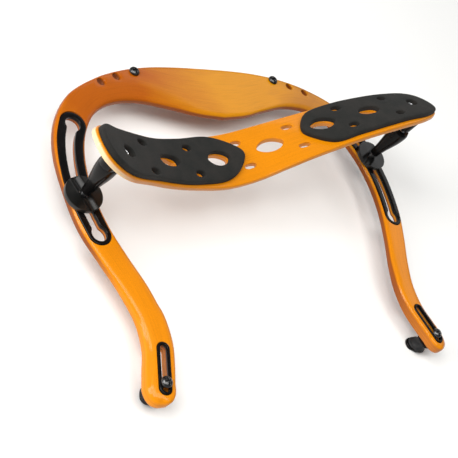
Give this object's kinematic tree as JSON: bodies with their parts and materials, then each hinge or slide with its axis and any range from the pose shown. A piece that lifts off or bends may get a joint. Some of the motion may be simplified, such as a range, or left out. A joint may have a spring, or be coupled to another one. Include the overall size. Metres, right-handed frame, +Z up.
{
  "type": "adjustable wooden shoulder rest for a violin",
  "caption": "Violin shoulder rest: a bent maple cradle gripped to the instrument by rubber-shod claws carries a curved, pierced maple plate with dark foam pads on adjustable black legs.",
  "frame": {"origin": "centre of the bounding box on the ground under the claws", "axes": "+Z up; the rest plate runs across along X; +Y points to the closed end of the cradle, the player's chin side; the open arms point to -Y"},
  "size_m": [0.2158, 0.1602, 0.0662],
  "materials": {
    "cradle_maple": "satin golden-orange varnish over bent maple, fine grain along the bend",
    "plate_maple": "satin yellow-orange varnish over bent maple",
    "black_plastic": "glossy black moulded plastic",
    "disc_plastic": "matte black moulded plastic",
    "pad_foam": "dense charcoal foam rubber, matte and slightly mottled",
    "black_rubber": "soft matte black rubber",
    "blackened_steel": "blackened steel",
    "bright_steel": "bright zinc-plated steel"
  },
  "bodies": {
    "frame": {"cradle": "cradle_maple", "slot_liner_left": "black_plastic", "slot_liner_right": "black_plastic", "claw_slot_liner_left": "black_plastic", "claw_slot_liner_right": "black_plastic"},
    "foot_left": {"leg_stem_left": "blackened_steel"},
    "foot_right": {"leg_stem_right": "blackened_steel"},
    "disc_left": {"clamp_disc_left": "disc_plastic"},
    "disc_right": {"clamp_disc_right": "disc_plastic"},
    "barrel_left": {"leg_barrel_left": "black_plastic"},
    "barrel_right": {"leg_barrel_right": "black_plastic"},
    "plate": {"rest_plate": "plate_maple", "pad_left": "pad_foam", "pad_right": "pad_foam", "plate_screw_left": "bright_steel", "plate_screw_right": "bright_steel", "plate_bracket_left": "black_plastic", "plate_bracket_right": "black_plastic", "ball_stud_left": "bright_steel", "ball_stud_right": "bright_steel"},
    "arm_claw_left": {"arm_claw_post_left": "black_plastic", "arm_claw_rubber_left": "black_rubber", "arm_claw_screw_left": "blackened_steel"},
    "end_claw_left": {"end_claw_post_left": "black_plastic", "end_claw_rubber_left": "black_rubber", "end_claw_screw_left": "blackened_steel"},
    "arm_claw_right": {"arm_claw_post_right": "black_plastic", "arm_claw_rubber_right": "black_rubber", "arm_claw_screw_right": "blackened_steel"},
    "end_claw_right": {"end_claw_post_right": "black_plastic", "end_claw_rubber_right": "black_rubber", "end_claw_screw_right": "blackened_steel"}
  },
  "joints": [
    {"name": "left_leg_along_slot", "type": "slide", "parent": "frame", "child": "foot_left", "axis": [0.115, -0.9934, 0], "range_m": [-0.0015, 0.0105]},
    {"name": "right_leg_along_slot", "type": "slide", "parent": "frame", "child": "foot_right", "axis": [0.115, -0.9934, 0], "range_m": [-0.0015, 0.0105]},
    {"name": "left_leg_height", "type": "slide", "parent": "foot_left", "child": "barrel_left", "axis": [0, 0, 1], "range_m": [-0.0012, 0.0075]},
    {"name": "right_leg_height", "type": "slide", "parent": "foot_right", "child": "barrel_right", "axis": [0, 0, 1], "range_m": [-0.0012, 0.0075]},
    {"name": "plate_tilt", "type": "hinge", "parent": "barrel_left", "child": "plate", "pos_m": [-0.0887, 0.01067, 0.041], "axis": [0.9951, 0.0992, 0], "range_deg": [-12, 12]},
    {"name": "left_disc_turn", "type": "hinge", "parent": "foot_left", "child": "disc_left", "pos_m": [-0.0887, 0.01067, 0.0175], "axis": [0, 0, 1], "continuous": true},
    {"name": "right_disc_turn", "type": "hinge", "parent": "foot_right", "child": "disc_right", "pos_m": [0.09185, 0.02867, 0.0175], "axis": [0, 0, 1], "continuous": true},
    {"name": "left_arm_claw_along_slot", "type": "slide", "parent": "frame", "child": "arm_claw_left", "axis": [0.2962, 0.9551, 0], "range_m": [-0.0015, 0.0132]},
    {"name": "right_arm_claw_along_slot", "type": "slide", "parent": "frame", "child": "arm_claw_right", "axis": [-0.2962, 0.9551, 0], "range_m": [-0.0015, 0.0132]},
    {"name": "left_end_claw_swivel", "type": "hinge", "parent": "frame", "child": "end_claw_left", "pos_m": [-0.04035, 0.07467, 0.006], "axis": [0, 0, 1], "range_deg": [-40, 40]},
    {"name": "right_end_claw_swivel", "type": "hinge", "parent": "frame", "child": "end_claw_right", "pos_m": [0.04485, 0.07467, 0.006], "axis": [0, 0, 1], "range_deg": [-40, 40]}
  ],
  "couplings": [
    {"joint": "right_leg_along_slot", "follows": "left_leg_along_slot", "ratio": 1},
    {"joint": "right_leg_height", "follows": "left_leg_height", "ratio": 1}
  ]
}
